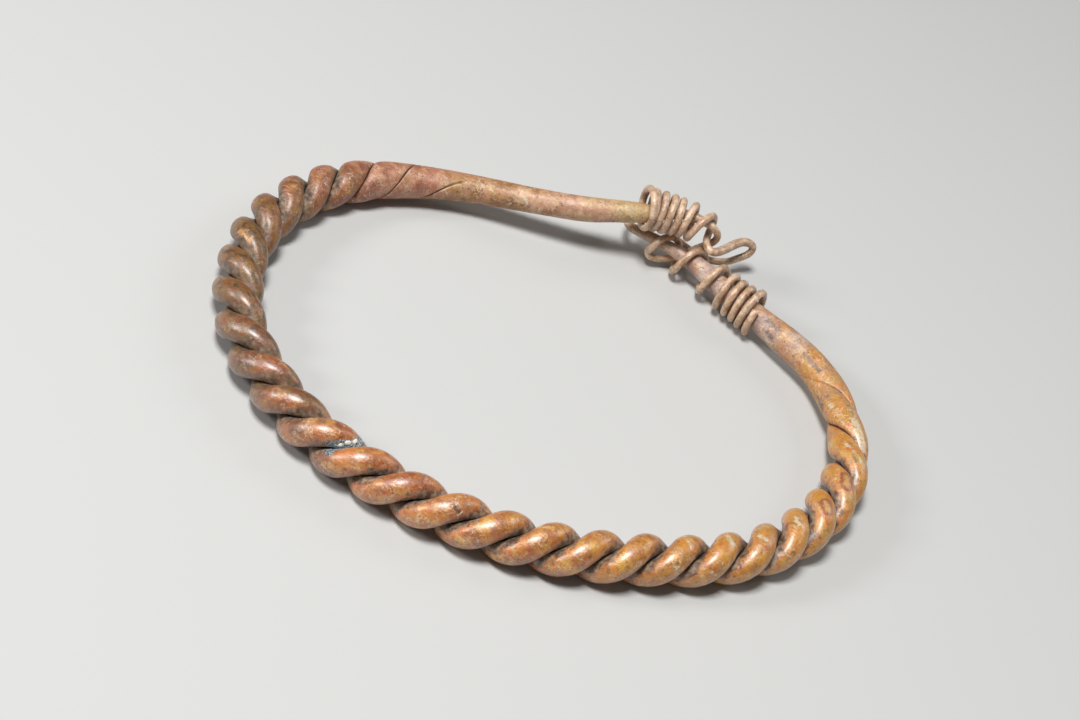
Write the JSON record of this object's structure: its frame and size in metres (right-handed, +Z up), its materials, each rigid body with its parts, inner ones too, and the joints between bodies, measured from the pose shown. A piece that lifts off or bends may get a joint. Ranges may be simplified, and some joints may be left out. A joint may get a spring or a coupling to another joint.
{
  "type": "coiled bracelet",
  "caption": "Open hoop of twisted bronze bar whose plain ends are drawn out into wires, each wound in a coil round the other end, with a standing wire loop.",
  "frame": {"origin": "centre of the bounding box's bottom, on the surface that the bracelet lies on", "axes": "+Z up with the bracelet lying flat, +Y towards the coiled clasp, +X towards the stem with the lower coil"},
  "size_m": [0.0794, 0.074, 0.0112],
  "materials": {
    "patinated_bronze": "worn, patinated bronze with a soft polish"
  },
  "bodies": {
    "root": {"twisted_bracelet": "patinated_bronze"}
  },
  "joints": []
}
